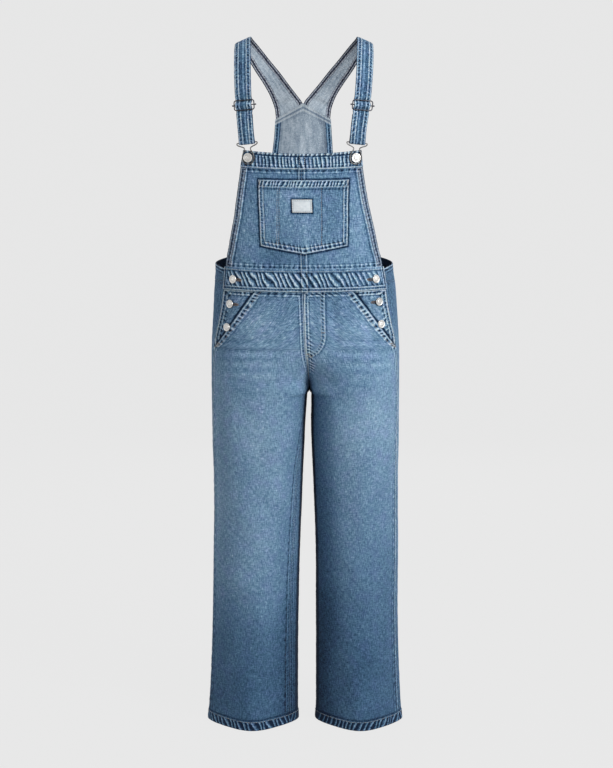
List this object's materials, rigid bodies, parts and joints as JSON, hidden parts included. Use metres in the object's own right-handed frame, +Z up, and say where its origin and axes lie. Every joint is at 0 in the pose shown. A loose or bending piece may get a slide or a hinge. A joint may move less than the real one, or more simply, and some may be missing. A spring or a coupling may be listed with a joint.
{
  "type": "bib overalls",
  "caption": "Hollow denim bib overalls with full-length legs, a pocketed bib, a pointed back piece, and adjustable shoulder straps hooked over buttons.",
  "frame": {"origin": "midway between the tops of the two shoulder straps, where the wearer's shoulders hold the garment up", "axes": "+Z up along the body, the front faces -Y, +X to the wearer's left"},
  "size_m": [0.4033, 0.241, 1.3926],
  "materials": {
    "denim": "washed mid-blue twill, matte",
    "denim_light": "washed light-blue twill, matte",
    "denim_dark": "less washed blue twill, matte",
    "label_cloth": "white woven tape, bare",
    "silver": "satin nickel",
    "steel": "dark nickel wire"
  },
  "bodies": {
    "root": {"front_leg_right": "denim", "front_leg_left": "denim", "back_leg_right": "denim", "back_leg_left": "denim", "hip_facing_right": "denim_dark", "hip_facing_left": "denim_dark", "back_upper": "denim", "waistband": "denim", "bib_right": "denim_light", "bib_left": "denim_light", "bib_top_band": "denim_light", "bib_pocket": "denim_light", "bib_label": "label_cloth", "strap_right": "denim", "strap_left": "denim", "hook_right": "silver", "hook_left": "silver", "slider_right": "steel", "slider_left": "steel", "button_bib_right": "silver", "button_bib_left": "silver", "button_waist_right": "silver", "button_waist_left": "silver", "button_hip_upper_right": "silver", "button_hip_upper_left": "silver", "button_hip_lower_right": "silver", "button_hip_lower_left": "silver"}
  },
  "joints": []
}
